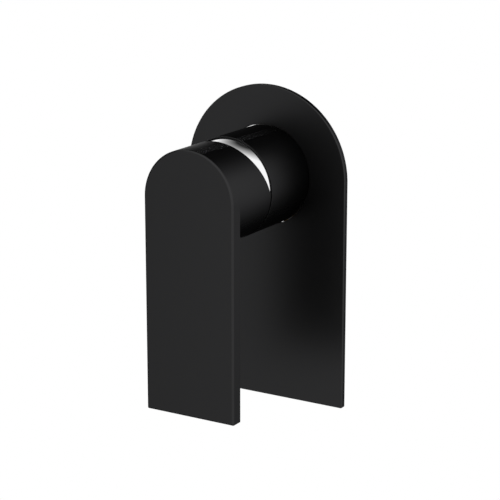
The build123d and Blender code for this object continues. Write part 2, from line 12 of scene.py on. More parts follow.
import bpy
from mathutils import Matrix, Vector


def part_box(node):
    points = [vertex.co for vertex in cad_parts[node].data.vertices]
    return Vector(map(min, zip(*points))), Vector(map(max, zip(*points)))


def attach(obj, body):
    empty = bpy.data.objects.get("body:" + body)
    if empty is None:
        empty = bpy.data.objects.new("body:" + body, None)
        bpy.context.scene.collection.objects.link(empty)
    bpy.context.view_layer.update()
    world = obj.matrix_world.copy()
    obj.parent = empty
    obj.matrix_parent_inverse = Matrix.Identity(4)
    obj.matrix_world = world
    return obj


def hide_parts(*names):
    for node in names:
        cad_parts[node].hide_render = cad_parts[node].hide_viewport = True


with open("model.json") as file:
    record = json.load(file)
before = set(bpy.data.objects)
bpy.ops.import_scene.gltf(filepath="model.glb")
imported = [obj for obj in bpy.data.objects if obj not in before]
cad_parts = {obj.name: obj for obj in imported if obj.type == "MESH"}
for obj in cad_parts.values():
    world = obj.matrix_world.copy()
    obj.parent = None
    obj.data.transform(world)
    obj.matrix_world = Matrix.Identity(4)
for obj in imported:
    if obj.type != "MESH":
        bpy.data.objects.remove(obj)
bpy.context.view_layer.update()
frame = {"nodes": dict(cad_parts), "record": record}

bl_info = {
    "name": "Shower Mixer",
    "version": (1, 0, 0),
    "blender": (4, 5, 0),
    "location": "3D View > Sidebar > Mixer",
    "description": "Models a single-lever shower mixer's trim and gives its pieces their finishes",
    "category": "Add Mesh",
}

MM = 0.001
MERGE_DISTANCE = 0.5e-6
ROUND_STEPS = 192  # sides of a plain round hole
FINE_STEPS = 2 * ROUND_STEPS  # sides of the trim's outer rounds and of the turned pieces
SCREW_STEPS = 48  # sides of the grub screw's holes
BALL_STEPS = 40  # steps along the ball's arc and along its socket's
DOME_STEPS = 20  # steps along the arc inside the ball's dome
SHARP_ANGLE = math.radians(35)  # edges sharper than this are rounded
SMOOTH_ANGLE = math.radians(30)  # edges shallower than this are shaded smooth
FLAT_ANGLE = math.radians(0.4)  # faces that differ by less than this become one

# Radii of the small edges that the coating and the polish leave round
PLATE_SMALL_EDGE = 0.08 * MM
SLEEVE_SMALL_EDGE = 0.12 * MM
CAP_SMALL_EDGE = 0.1 * MM
HANDLE_SMALL_EDGE = 0.1 * MM

BODY = {
    node: name
    for name, nodes in frame["record"]["behaviour"]["bodies"].items()
    for node in nodes
}

# Corners of the CAD nodes' boxes, which give the trim its outer sizes. The sleeve's open end and
# the hub's rim are settings, because they lie 0.7 mm nearer the wall than the CAD's.
PLATE_LOW, PLATE_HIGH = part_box("cover_plate")
_, SLEEVE_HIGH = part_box("sleeve")
HANDLE_LOW, HANDLE_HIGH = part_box("handle")
_, CAP_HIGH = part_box("ball_cap")


def length(name, description, default):
    return bpy.props.FloatProperty(
        name=name, description=description, default=default, unit="LENGTH", precision=5, min=0.0
    )


def colour(name, description, default):
    return bpy.props.FloatVectorProperty(
        name=name, description=description, default=default, subtype="COLOR", size=3,
        min=0.0, max=1.0,
    )


def share(name, description, default):
    return bpy.props.FloatProperty(
        name=name, description=description, default=default, subtype="FACTOR", min=0.0, max=1.0
    )


class MixerTrimSizes(bpy.types.PropertyGroup):
    """The cover plate, the sleeve and the ball cap."""

    plate_edge: length("Plate edge", "Radius of the plate's rounded front edge", 0.5 * MM)
    plate_corner: length("Plate corner", "Radius of the plate's two lower corners", 1.0 * MM)
    plate_hole: length(
        "Plate hole", "Radius of the hole that the sleeve passes through", 24.25 * MM
    )
    gasket_inset: length(
        "Gasket inset", "From the plate's outline to the foam strip's groove", 4.0 * MM
    )
    gasket_width: length("Gasket width", "Width of the foam strip's groove", 5.0 * MM)
    gasket_depth: length("Gasket depth", "Depth of the foam strip's groove", 1.0 * MM)
    sleeve_out: length("Sleeve end", "Distance of the sleeve's open end from the wall", 36.6 * MM)
    sleeve_wall: length("Sleeve wall", "Thickness of the sleeve's wall", 1.8 * MM)
    sleeve_lip_wall: length(
        "Sleeve lip", "Thickness of the thin lip round the cap's flange", 0.6 * MM
    )
    sleeve_lip_depth: length("Lip depth", "Depth of the seat for the cap's flange", 2.0 * MM)
    sleeve_lead_in: length("Lead-in", "Chamfer inside the sleeve's back end", 0.6 * MM)
    cap_fit: length("Cap fit", "Room between the cap's flange and the sleeve's lip", 0.1 * MM)
    cap_ball: length("Ball radius", "Radius of the chrome ball about the lever's pivot", 24.05 * MM)
    cap_dome_wall: length("Ball wall", "Thickness of the ball's hollow dome", 2.4 * MM)
    cap_opening: length("Cap opening", "Radius of the round opening for the spindle", 16.0 * MM)
    cap_wall: length("Cap skirt wall", "Thickness of the skirt that holds the thread", 1.1 * MM)
    cap_skirt: length("Cap skirt radius", "Outer radius of the skirt inside the sleeve", 22.0 * MM)


class MixerHandleSizes(bpy.types.PropertyGroup):
    """The lever and the hub behind it, which are one casting."""

    pivot_out: length("Pivot out", "Distance of the lever's pivot from the wall", 30.2 * MM)
    hub_out: length("Hub rim", "Distance of the hub's back rim from the wall", 37.1 * MM)
    wedge_out: length(
        "Slope start", "From the wall to where the hub's slope crosses the axis", 37.4 * MM
    )
    lever_thickness: length("Lever thickness", "Thickness of the flat lever", 6.1 * MM)
    lever_edge: length("Lever edge", "Radius of the lever's rounded front edge", 0.9 * MM)
    lever_corner: length("Lever corner", "Radius of the lever's two lower corners", 0.5 * MM)
    wedge_angle: bpy.props.FloatProperty(
        name="Wedge angle",
        description="Slope of the hub's cut upper back, which lets the lever tilt",
        default=math.radians(22.4),
        subtype="ANGLE",
    )
    socket_gap: length("Socket gap", "Room between the ball and the hub's socket", 0.2 * MM)
    pocket_radius: length(
        "Pocket radius", "Radius of the round pocket beyond the socket", 14.0 * MM
    )
    pocket_floor: length(
        "Pocket floor", "Metal left between the pocket and the lever's back", 4.0 * MM
    )
    rib_width: length("Rib width", "Width of the rib that holds the grub screw", 9.0 * MM)
    rib_start: length("Rib start", "From the pivot to the rib's face", 21.2 * MM)
    boss_radius: length("Boss radius", "Radius of the boss that holds the spindle", 7.5 * MM)
    boss_start: length("Boss start", "From the pivot to the boss's face", 14.0 * MM)
    spindle_square: length("Spindle hole", "Width of the square hole for the spindle", 8.1 * MM)
    spindle_depth: length(
        "Spindle hole depth", "From the pivot to the square hole's end", 29.0 * MM
    )
    screw_radius: length("Screw hole", "Radius of the grub screw's hole", 2.5 * MM)
    screw_cap_radius: length("Screw cap hole", "Radius of the recess for the screw's cap", 2.9 * MM)
    screw_cap_depth: length("Screw cap depth", "Depth of the recess for the screw's cap", 3.0 * MM)
    screw_from_pivot: length("Screw place", "From the pivot to the grub screw's axis", 24.5 * MM)


class MixerFinishes(bpy.types.PropertyGroup):
    """The colours and glosses that a user would change."""

    black: colour("Satin black", "Tone of the satin black coating", (0.0405, 0.0405, 0.0415))
    black_edge: share("Black edge", "How strongly the black coating shines at a flat angle", 0.32)
    black_roughness: share("Black roughness", "Roughness of the satin black coating", 0.36)
    chrome: colour("Chrome", "Tone of the bright chrome", (0.94, 0.94, 0.945))
    brass: colour("Brass", "Tone of freshly cut brass", (0.78, 0.58, 0.28))
    brass_skin: colour(
        "Casting skin", "Tone of the brass where it is left as cast", (0.50, 0.36, 0.17)
    )
    steel: colour("Steel", "Tone of the turned steel", (0.58, 0.58, 0.57))
    white_plastic: colour("White plastic", "Tone of the cartridge's case", (0.80, 0.80, 0.77))
    grey_plastic: colour(
        "Grey plastic", "Tone of the cartridge's moving plastic pieces", (0.30, 0.31, 0.33)
    )
    black_plastic: colour("Black plastic", "Tone of the screw's cap", (0.03, 0.03, 0.03))
    ceramic: colour("Ceramic", "Tone of the lapped ceramic discs", (0.86, 0.85, 0.81))
    rubber: colour("Rubber", "Tone of the seals", (0.028, 0.028, 0.03))
    foam: colour("Foam", "Tone of the foam strip behind the plate", (0.075, 0.075, 0.078))


class MixerStudio(bpy.types.PropertyGroup):
    """The camera, the floor and the light."""

    camera_place: bpy.props.FloatVectorProperty(
        name="Camera", description="Place of the camera", default=(0.419256, -0.712258, 0.179476),
        subtype="TRANSLATION", size=3,
    )
    camera_turn: bpy.props.FloatProperty(
        name="Camera turn", description="How far the camera stands to the right",
        default=math.radians(31.07), subtype="ANGLE",
    )
    camera_tilt: bpy.props.FloatProperty(
        name="Camera tilt", description="How far the camera looks down",
        default=math.radians(14.74), subtype="ANGLE",
    )
    lens: bpy.props.FloatProperty(
        name="Lens", description="Focal length in millimetres", default=127.017
    )
    floor_drop: length("Floor", "How far below the valve's axis the floor lies", 1.1)
    room_light: bpy.props.FloatProperty(
        name="Room light", description="Strength of the even light on dull surfaces",
        default=0.7, min=0.0,
    )


def settings():
    return bpy.context.scene.mixer


class MixerSettings(bpy.types.PropertyGroup):
    """All that a user can change."""

    trim: bpy.props.PointerProperty(type=MixerTrimSizes)
    handle: bpy.props.PointerProperty(type=MixerHandleSizes)
    finishes: bpy.props.PointerProperty(type=MixerFinishes)
    studio: bpy.props.PointerProperty(type=MixerStudio)


# Modelling steps that every piece shares


def clear_selection():
    if bpy.context.mode != "OBJECT":
        bpy.ops.object.mode_set(mode="OBJECT")
    bpy.ops.object.select_all(action="DESELECT")


def take(piece):
    """Makes this piece the only selected one."""
    clear_selection()
    piece.select_set(True)
    bpy.context.view_layer.objects.active = piece
    return piece


def named(name):
    """Gives the new primitive its name and puts its place and turn into its mesh."""
    piece = bpy.context.view_layer.objects.active
    piece.name = name
    piece.data.name = name
    bpy.ops.object.transform_apply(location=True, rotation=True, scale=True)
    return piece


def pick(piece, kind, test):
    """Goes into edit mode with the faces, edges or vertices chosen for which the test holds."""
    take(piece)
    bpy.ops.object.mode_set(mode="EDIT")
    bpy.ops.mesh.select_mode(type=kind)
    bpy.ops.mesh.select_all(action="DESELECT")
    bpy.ops.object.mode_set(mode="OBJECT")
    mesh = piece.data
    if kind == "FACE":
        for face in mesh.polygons:
            face.select = test(face.center, face.normal)
    elif kind == "EDGE":
        for edge in mesh.edges:
            ends = [mesh.vertices[index].co for index in edge.vertices]
            edge.select = test(*ends)
    else:
        for vertex in mesh.vertices:
            vertex.select = test(vertex.co)
    bpy.ops.object.mode_set(mode="EDIT")


def near(value, target, room=0.01 * MM):
    return abs(value - target) < room


def round_bar(name, radius, start, end, steps=ROUND_STEPS):
    """A round bar along the valve's axis, between two distances out."""
    clear_selection()
    bpy.ops.mesh.primitive_cylinder_add(
        vertices=steps, radius=radius, depth=end - start,
        location=(0, -(start + end) / 2, 0), rotation=(math.pi / 2, 0, 0),
    )
    return named(name)


def block(name, width, start, end, low, high):
    """A box centred across the valve's axis, between two distances out and two heights."""
    clear_selection()
    bpy.ops.mesh.primitive_cube_add(size=1, location=(0, -(start + end) / 2, (low + high) / 2))
    bpy.ops.transform.resize(value=(width, end - start, high - low))
    return named(name)


def cut_flat(piece, point, normal, clear=False):
    """Cuts all of a piece with a plane, and takes away what lies on the normal's side if asked."""
    take(piece)
    bpy.ops.object.mode_set(mode="EDIT")
    bpy.ops.mesh.select_all(action="SELECT")
    bpy.ops.mesh.bisect(plane_co=point, plane_no=normal, use_fill=clear, clear_outer=clear)
    bpy.ops.object.mode_set(mode="OBJECT")


def pull_down_foot(piece, front_out, back_out, drop):
    """Pulls the lower half of a round slab down to a level foot, which makes it an arch."""
    middle_y, half = -(front_out + back_out) / 2, (front_out - back_out) / 2

    def lower_band(centre, normal):
        return centre.z < 0 and abs(normal.y) < 0.5 and abs(centre.y - middle_y) < half

    pick(piece, "FACE", lower_band)
    bpy.ops.mesh.extrude_region_move(TRANSFORM_OT_translate={"value": (0, 0, -drop)})
    bpy.ops.transform.resize(value=(1, 1, 0), center_override=(0, 0, -drop))
    bpy.ops.mesh.select_all(action="SELECT")
    bpy.ops.mesh.dissolve_limited(angle_limit=FLAT_ANGLE)
    bpy.ops.mesh.normals_make_consistent(inside=False)
    bpy.ops.object.mode_set(mode="OBJECT")


def weigh_edges(piece, weight, test):
    """Marks edges for the weighted bevel."""
    pick(piece, "EDGE", test)
    bpy.ops.transform.edge_bevelweight(value=weight)
    bpy.ops.object.mode_set(mode="OBJECT")


def finish_with(piece, kind, **values):
    """Adds a modifier with these values and applies it."""
    take(piece)
    modifier = piece.modifiers.new(kind.title(), kind)
    for name, value in values.items():
        setattr(modifier, name, value)
    bpy.ops.object.modifier_apply(modifier=modifier.name)


def round_edges(piece, width, segments, by_weight=False):
    finish_with(
        piece, "BEVEL", width=width, segments=segments, harden_normals=True,
        limit_method="WEIGHT" if by_weight else "ANGLE", angle_limit=SHARP_ANGLE,
        miter_outer="MITER_ARC" if by_weight else "MITER_SHARP",
    )


def smooth(piece):
    """Smooth shading across shallow edges, with flat faces kept flat."""
    take(piece)
    bpy.ops.object.shade_smooth_by_angle(angle=SMOOTH_ANGLE)
    finish_with(piece, "WEIGHTED_NORMAL", keep_sharp=True, weight=100)


def cut_away(piece, cutter):
    """Takes one solid out of another and removes the cutter."""
    finish_with(piece, "BOOLEAN", operation="DIFFERENCE", solver="EXACT", object=cutter)
    bpy.data.objects.remove(cutter)
    bpy.ops.object.mode_set(mode="EDIT")
    bpy.ops.mesh.select_all(action="SELECT")
    bpy.ops.mesh.remove_doubles(threshold=MERGE_DISTANCE)
    bpy.ops.object.mode_set(mode="OBJECT")


def turned(name, profile):
    """A solid turned about the valve's axis, from a closed outline of radius and distance out."""
    clear_selection()
    radius, out = profile[0]
    bpy.ops.mesh.primitive_plane_add(size=MM, location=(radius, -out, 0))
    piece = named(name)
    take(piece)
    bpy.ops.object.mode_set(mode="EDIT")
    bpy.ops.mesh.select_mode(type="VERT")
    bpy.ops.mesh.select_all(action="SELECT")
    bpy.ops.mesh.merge(type="CENTER")
    for next_radius, next_out in [*profile[1:], profile[0]]:
        step = (next_radius - radius, out - next_out, 0)
        bpy.ops.mesh.extrude_region_move(TRANSFORM_OT_translate={"value": step})
        radius, out = next_radius, next_out
    bpy.ops.mesh.select_all(action="SELECT")
    bpy.ops.mesh.spin(steps=FINE_STEPS, angle=2 * math.pi, center=(0, 0, 0), axis=(0, 1, 0))
    bpy.ops.mesh.select_all(action="SELECT")
    bpy.ops.mesh.remove_doubles(threshold=MERGE_DISTANCE)
    bpy.ops.mesh.normals_make_consistent(inside=False)
    bpy.ops.object.mode_set(mode="OBJECT")
    return piece


def arc(centre_out, radius, start, end, steps):
    """Points along a circle about a place on the axis, between two distances off the axis."""
    start, end = math.acos(start / radius), math.acos(end / radius)
    angles = [start + (end - start) * index / steps for index in range(steps + 1)]
    return [(radius * math.cos(a), centre_out + radius * math.sin(a)) for a in angles]


def stand_for(piece, node):
    """The piece rides on its CAD node's body and is shown in the node's place."""
    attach(piece, BODY[node])
    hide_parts(node)


def make_cover_plate(trim):
    front, half_width, drop = -PLATE_LOW.y, PLATE_HIGH.x, -PLATE_LOW.z
    plate = round_bar("cover_plate_trim", half_width, 0, front, steps=FINE_STEPS)
    cut_flat(plate, (0, 0, 0), (0, 0, 1))
    pull_down_foot(plate, front, 0, drop)
    pick(plate, "FACE", lambda centre, normal: normal.y > 0.5)
    bpy.ops.mesh.inset(thickness=trim.gasket_inset, use_even_offset=True)
    bpy.ops.mesh.inset(thickness=trim.gasket_width, use_even_offset=True)
    bpy.ops.object.mode_set(mode="OBJECT")
    inset = trim.gasket_inset + trim.gasket_width / 2

    def groove(centre, normal):
        if centre.z > 0:
            edge = math.hypot(centre.x, centre.z)
        else:
            edge = max(abs(centre.x), -centre.z - drop + half_width)
        return normal.y > 0.5 and abs(half_width - edge - inset) < trim.gasket_width / 2

    pick(plate, "FACE", groove)
    bpy.ops.mesh.extrude_region_move(TRANSFORM_OT_translate={"value": (0, -trim.gasket_depth, 0)})
    bpy.ops.object.mode_set(mode="OBJECT")
    cut_away(plate, round_bar("plate_hole", trim.plate_hole, -MM, front + MM))

    def outline(a, b):
        past_hole = math.hypot(a.x, a.z) > trim.plate_hole + MM
        return near(a.y, -front) and near(b.y, -front) and past_hole

    def corner(a, b):
        return abs(a.y - b.y) > front - MM and near(a.z, -drop)

    weigh_edges(plate, 1.0, corner)
    weigh_edges(plate, trim.plate_edge / trim.plate_corner, outline)
    round_edges(plate, trim.plate_corner, 6, by_weight=True)
    round_edges(plate, PLATE_SMALL_EDGE, 2)
    smooth(plate)
    stand_for(plate, "cover_plate")
    return plate


def make_sleeve(trim):
    radius, back, front = SLEEVE_HIGH.x, -SLEEVE_HIGH.y, trim.sleeve_out
    bore, lip = radius - trim.sleeve_wall, radius - trim.sleeve_lip_wall
    seat = front - trim.sleeve_lip_depth
    sleeve = turned(
        "sleeve_trim",
        [
            (bore + trim.sleeve_lead_in, back),
            (radius, back),
            (radius, front),
            (lip, front),
            (lip, seat),
            (bore, seat),
            (bore, back + 2 * trim.sleeve_lead_in),
        ],
    )
    round_edges(sleeve, SLEEVE_SMALL_EDGE, 3)
    smooth(sleeve)
    stand_for(sleeve, "sleeve")
    return sleeve


def make_ball_cap(trim, handle):
    skirt_end, seat = -CAP_HIGH.y, trim.sleeve_out - trim.sleeve_lip_depth
    flange_radius = SLEEVE_HIGH.x - trim.sleeve_lip_wall - trim.cap_fit
    inner = trim.cap_skirt - trim.cap_wall
    hollow = trim.cap_ball - trim.cap_dome_wall
    cap = turned(
        "ball_cap_trim",
        [
            (inner, skirt_end),
            (trim.cap_skirt, skirt_end),
            (trim.cap_skirt, seat),
            (flange_radius, seat),
            *arc(handle.pivot_out, trim.cap_ball, flange_radius, trim.cap_opening, BALL_STEPS),
            *arc(handle.pivot_out, hollow, trim.cap_opening, inner, DOME_STEPS),
        ],
    )
    round_edges(cap, CAP_SMALL_EDGE, 2)
    smooth(cap)
    stand_for(cap, "ball_cap")
    return cap


def make_handle(handle, trim):
    radius, drop = HANDLE_HIGH.x, -HANDLE_LOW.z
    front, back = -HANDLE_LOW.y, handle.hub_out
    lever_back = front - handle.lever_thickness
    piece = round_bar("handle_trim", radius, back, front, steps=FINE_STEPS)
    cut_flat(piece, (0, -lever_back, 0), (0, 1, 0))
    cut_flat(piece, (0, 0, 0), (0, 0, 1))
    pull_down_foot(piece, front, lever_back, drop)

    def foot_corner(a, b):
        at_foot = near(a.z, -drop) and near(b.z, -drop)
        return at_foot and near(abs(a.x), radius) and abs(a.y - b.y) > MM

    weigh_edges(piece, 1.0, lambda a, b: near(a.y, -front) and near(b.y, -front))
    weigh_edges(piece, handle.lever_corner / handle.lever_edge, foot_corner)
    round_edges(piece, handle.lever_edge, 10, by_weight=True)
    slope = (0, math.cos(handle.wedge_angle), math.sin(handle.wedge_angle))
    cut_flat(piece, (0, -handle.wedge_out, 0), slope, clear=True)

    socket = trim.cap_ball + handle.socket_gap
    mouth = math.sqrt(socket**2 - (back - MM - handle.pivot_out) ** 2)
    boss_out, pocket_out = handle.pivot_out + handle.boss_start, lever_back - handle.pocket_floor
    cutter = turned(
        "socket_space",
        [
            (0, back - MM),
            *arc(handle.pivot_out, socket, mouth, handle.pocket_radius, BALL_STEPS),
            (handle.pocket_radius, pocket_out),
            (handle.boss_radius, pocket_out),
            (handle.boss_radius, boss_out),
            (0, boss_out),
        ],
    )
    rib_start, rib_low = handle.pivot_out + handle.rib_start, -handle.pocket_radius - MM
    cut_away(cutter, block("rib", handle.rib_width, rib_start, pocket_out + MM, rib_low, 0))
    cut_away(piece, cutter)
    square, square_end = handle.spindle_square, handle.pivot_out + handle.spindle_depth
    spindle_space = block(
        "spindle_space", square, boss_out - MM, square_end, -square / 2, square / 2
    )
    cut_away(piece, spindle_space)
    screw_out = handle.pivot_out + handle.screw_from_pivot
    for name, hole, top in (
        ("screw_space", handle.screw_radius, 0),
        ("screw_cap_space", handle.screw_cap_radius, handle.screw_cap_depth - radius),
    ):
        clear_selection()
        bottom = -radius - MM
        bpy.ops.mesh.primitive_cylinder_add(
            vertices=SCREW_STEPS, radius=hole, depth=top - bottom,
            location=(0, -screw_out, (top + bottom) / 2),
        )
        cut_away(piece, named(name))
    round_edges(piece, HANDLE_SMALL_EDGE, 2)
    smooth(piece)
    stand_for(piece, "handle")
    return piece


# Finishes. Shared effects are node groups, placed in each material with its own values.


# What a group that describes a piece's skin puts out
SKIN_OUTPUTS = [
    ("Color", "NodeSocketColor"),
    ("Roughness", "NodeSocketFloat"),
    ("Height", "NodeSocketFloat"),
]


def group_sockets(group, inputs, outputs):
    for name, kind, default in inputs:
        socket = group.interface.new_socket(name=name, in_out="INPUT", socket_type=kind)
        if default is not None:
            socket.default_value = default
    for name, kind in outputs:
        group.interface.new_socket(name=name, in_out="OUTPUT", socket_type=kind)


def add(tree, kind, **values):
    """Adds a node, setting its properties, and its inputs where a value's name starts with in_."""
    node = tree.nodes.new(kind)
    for name, value in values.items():
        if name.startswith("in_"):
            node.inputs[name[3:].replace("_", " ")].default_value = value
        else:
            setattr(node, name, value)
    return node


def math_node(tree, operation, first, second):
    node = add(tree, "ShaderNodeMath", operation=operation)
    for socket, value in zip(node.inputs, (first, second)):
        if isinstance(value, (int, float)):
            socket.default_value = value
        else:
            tree.links.new(value, socket)
    return node.outputs[0]


def mix_colours(tree, factor, first, second):
    node = add(tree, "ShaderNodeMix", data_type="RGBA")
    for name, value in ((0, factor), (6, first), (7, second)):
        if isinstance(value, bpy.types.NodeSocket):
            tree.links.new(value, node.inputs[name])
        else:
            node.inputs[name].default_value = value
    return node.outputs[2]


def grain_group():
    """Fine grain: a colour, a roughness and a height that vary over the surface."""
    group = bpy.data.node_groups.new("Fine Grain", "ShaderNodeTree")
    group_sockets(
        group,
        [
            ("Vector", "NodeSocketVector", None),
            ("Light Tone", "NodeSocketColor", None),
            ("Dark Tone", "NodeSocketColor", None),
            ("Grain Size", "NodeSocketFloat", 1.0),
            ("Cloud Size", "NodeSocketFloat", 1.0),
            ("Roughness", "NodeSocketFloat", 0.5),
            ("Roughness Spread", "NodeSocketFloat", 0.1),
        ],
        SKIN_OUTPUTS,
    )
    entry, leave = add(group, "NodeGroupInput"), add(group, "NodeGroupOutput")
    wire = group.links.new
    grain = add(group, "ShaderNodeTexNoise", in_Detail=3.0, in_Roughness=0.6)
    cloud = add(group, "ShaderNodeTexNoise", in_Detail=4.0, in_Roughness=0.55)
    for noise, size in ((grain, "Grain Size"), (cloud, "Cloud Size")):
        wire(entry.outputs["Vector"], noise.inputs["Vector"])
        wire(math_node(group, "DIVIDE", 1.0, entry.outputs[size]), noise.inputs["Scale"])
    both = math_node(
        group, "ADD",
        math_node(group, "MULTIPLY", cloud.outputs[0], 0.7),
        math_node(group, "MULTIPLY", grain.outputs[0], 0.3),
    )
    tone = mix_colours(group, both, entry.outputs["Dark Tone"], entry.outputs["Light Tone"])
    wire(tone, leave.inputs["Color"])
    centred = math_node(group, "SUBTRACT", both, 0.5)
    shift = math_node(group, "MULTIPLY", centred, entry.outputs["Roughness Spread"])
    wire(math_node(group, "ADD", entry.outputs["Roughness"], shift), leave.inputs["Roughness"])
    wire(grain.outputs[0], leave.inputs["Height"])
    return group


def turning_group():
    """Fine rings about the valve's axis, as a lathe leaves them, on faces square to that axis."""
    group = bpy.data.node_groups.new("Turning Marks", "ShaderNodeTree")
    group_sockets(
        group,
        [("Vector", "NodeSocketVector", None), ("Pitch", "NodeSocketFloat", 0.0003)],
        [("Height", "NodeSocketFloat")],
    )
    entry, leave = add(group, "NodeGroupInput"), add(group, "NodeGroupOutput")
    wire = group.links.new
    split = add(group, "ShaderNodeSeparateXYZ")
    wire(entry.outputs["Vector"], split.inputs[0])
    squares = [math_node(group, "POWER", split.outputs[axis], 2.0) for axis in (0, 2)]
    radius = math_node(group, "SQRT", math_node(group, "ADD", *squares), 0.0)
    along = math_node(group, "ADD", radius, split.outputs[1])
    turns = math_node(group, "DIVIDE", along, entry.outputs["Pitch"])
    wave = math_node(group, "SINE", math_node(group, "MULTIPLY", turns, 2 * math.pi), 0.0)
    wire(math_node(group, "MULTIPLY_ADD", wave, 0.5), leave.inputs["Height"])
    return group


# How far a port's cut surface reaches past the bore's rim and below its face, and the widths over
# which it turns into the cast skin at the rim, at the bore's floor and at the face
PORT_RIM_ROOM = 0.3 * MM
PORT_FACE_ROOM = 0.1 * MM
PORT_RIM_FADE = 0.3 * MM
PORT_FLOOR_FADE = 1.0 * MM
PORT_FACE_FADE = 0.05 * MM


def ports_group():
    """Port faces and bores that are cut bright in a casting, with the threads in the bores."""
    group = bpy.data.node_groups.new("Cut Ports", "ShaderNodeTree")
    group_sockets(
        group,
        [
            ("Vector", "NodeSocketVector", None),
            ("Cast Tone", "NodeSocketColor", None),
            ("Cut Tone", "NodeSocketColor", None),
            ("Cast Roughness", "NodeSocketFloat", 0.5),
            ("Cut Roughness", "NodeSocketFloat", 0.25),
            ("Cast Height", "NodeSocketFloat", 0.0),
            ("Thread Height", "NodeSocketFloat", 1.0),
            ("Thread Pitch", "NodeSocketFloat", 1.814 * MM),
            ("Port Depth", "NodeSocketFloat", 17.0 * MM),
            ("Port Reach", "NodeSocketFloat", 24.0 * MM),
            ("Bore Radius", "NodeSocketFloat", 9.3 * MM),
            ("Bore Depth", "NodeSocketFloat", 11.0 * MM),
        ],
        SKIN_OUTPUTS,
    )
    entry, leave = add(group, "NodeGroupInput"), add(group, "NodeGroupOutput")
    wire, given = group.links.new, entry.outputs

    def past(value, limit, fade):
        """Rises from 0 to 1 as the value goes past the limit."""
        share_past = math_node(group, "DIVIDE", math_node(group, "SUBTRACT", value, limit), fade)
        share_past.node.use_clamp = True
        return share_past

    split = add(group, "ShaderNodeSeparateXYZ")
    wire(given["Vector"], split.inputs[0])
    depth = math_node(group, "SUBTRACT", split.outputs[1], given["Port Depth"])
    rim = math_node(group, "ADD", given["Bore Radius"], PORT_RIM_ROOM)
    face = math_node(group, "SUBTRACT", given["Port Reach"], PORT_FACE_ROOM)
    floor = math_node(group, "SUBTRACT", given["Port Reach"], given["Bore Depth"])
    cut, thread = [], []
    for along, across in ((0, 2), (2, 0)):
        reach = math_node(group, "ABSOLUTE", split.outputs[along], 0.0)
        sides = (depth, split.outputs[across])
        squares = [math_node(group, "POWER", side, 2.0) for side in sides]
        radius = math_node(group, "SQRT", math_node(group, "ADD", *squares), 0.0)
        in_bore = math_node(
            group, "MULTIPLY",
            past(rim, radius, PORT_RIM_FADE),
            past(reach, floor, PORT_FLOOR_FADE),
        )
        cut += [in_bore, past(reach, face, PORT_FACE_FADE)]
        turn = math_node(group, "ARCTAN2", split.outputs[across], depth)
        turns = math_node(
            group, "ADD",
            math_node(group, "DIVIDE", split.outputs[along], given["Thread Pitch"]),
            math_node(group, "DIVIDE", turn, 2 * math.pi),
        )
        ridge = math_node(group, "PINGPONG", turns, 0.5)
        thread.append(math_node(group, "MULTIPLY", in_bore, ridge))
    bright = cut[0]
    for more in cut[1:]:
        bright = math_node(group, "MAXIMUM", bright, more)
    wire(mix_colours(group, bright, given["Cast Tone"], given["Cut Tone"]), leave.inputs["Color"])
    shift = math_node(group, "SUBTRACT", given["Cut Roughness"], given["Cast Roughness"])
    rougher = math_node(group, "MULTIPLY", bright, shift)
    wire(math_node(group, "ADD", given["Cast Roughness"], rougher), leave.inputs["Roughness"])
    uncut = math_node(group, "SUBTRACT", 1.0, bright)
    skin = math_node(group, "MULTIPLY", given["Cast Height"], uncut)
    ridges = math_node(group, "MULTIPLY", math_node(group, "ADD", *thread), given["Thread Height"])
    wire(math_node(group, "ADD", skin, ridges), leave.inputs["Height"])
    return group


GROUP_MAKERS = {"grain": grain_group, "turning": turning_group, "ports": ports_group}
GROUPS = {}


def shared_group(name):
    if name not in GROUPS:
        GROUPS[name] = GROUP_MAKERS[name]()
    return GROUPS[name]


def rgba(tone, scale=1.0):
    return (*[min(1.0, part * scale) for part in tone], 1.0)


def finish(
    name, tone, spread, roughness, roughness_spread, grain_size, cloud_size, bump,
    turning=0.0, **sockets,
):
    """A material whose tone, gloss and skin vary finely over the piece."""
    material = bpy.data.materials.new(name)
    material.use_nodes = True
    tree = material.node_tree
    wire = tree.links.new
    shader = tree.nodes["Principled BSDF"]
    place = add(tree, "ShaderNodeTexCoord")
    grain = add(tree, "ShaderNodeGroup", node_tree=shared_group("grain"))
    wire(place.outputs["Object"], grain.inputs["Vector"])
    grain.inputs["Light Tone"].default_value = rgba(tone, 1 + spread)
    grain.inputs["Dark Tone"].default_value = rgba(tone, 1 - spread)
    grain.inputs["Grain Size"].default_value = grain_size
    grain.inputs["Cloud Size"].default_value = cloud_size
    grain.inputs["Roughness"].default_value = roughness
    grain.inputs["Roughness Spread"].default_value = roughness_spread
    wire(grain.outputs["Color"], shader.inputs["Base Color"])
    wire(grain.outputs["Roughness"], shader.inputs["Roughness"])
    skin = add(tree, "ShaderNodeBump", in_Strength=1.0, in_Distance=bump)
    height = grain.outputs["Height"]
    if turning:
        rings = add(tree, "ShaderNodeGroup", node_tree=shared_group("turning"))
        wire(place.outputs["Object"], rings.inputs["Vector"])
        rings.inputs["Pitch"].default_value = turning
        height = math_node(tree, "ADD", height, rings.outputs["Height"])
    wire(height, skin.inputs["Height"])
    wire(skin.outputs["Normal"], shader.inputs["Normal"])
    for socket, value in sockets.items():
        shader.inputs[socket.replace("_", " ")].default_value = value
    return material


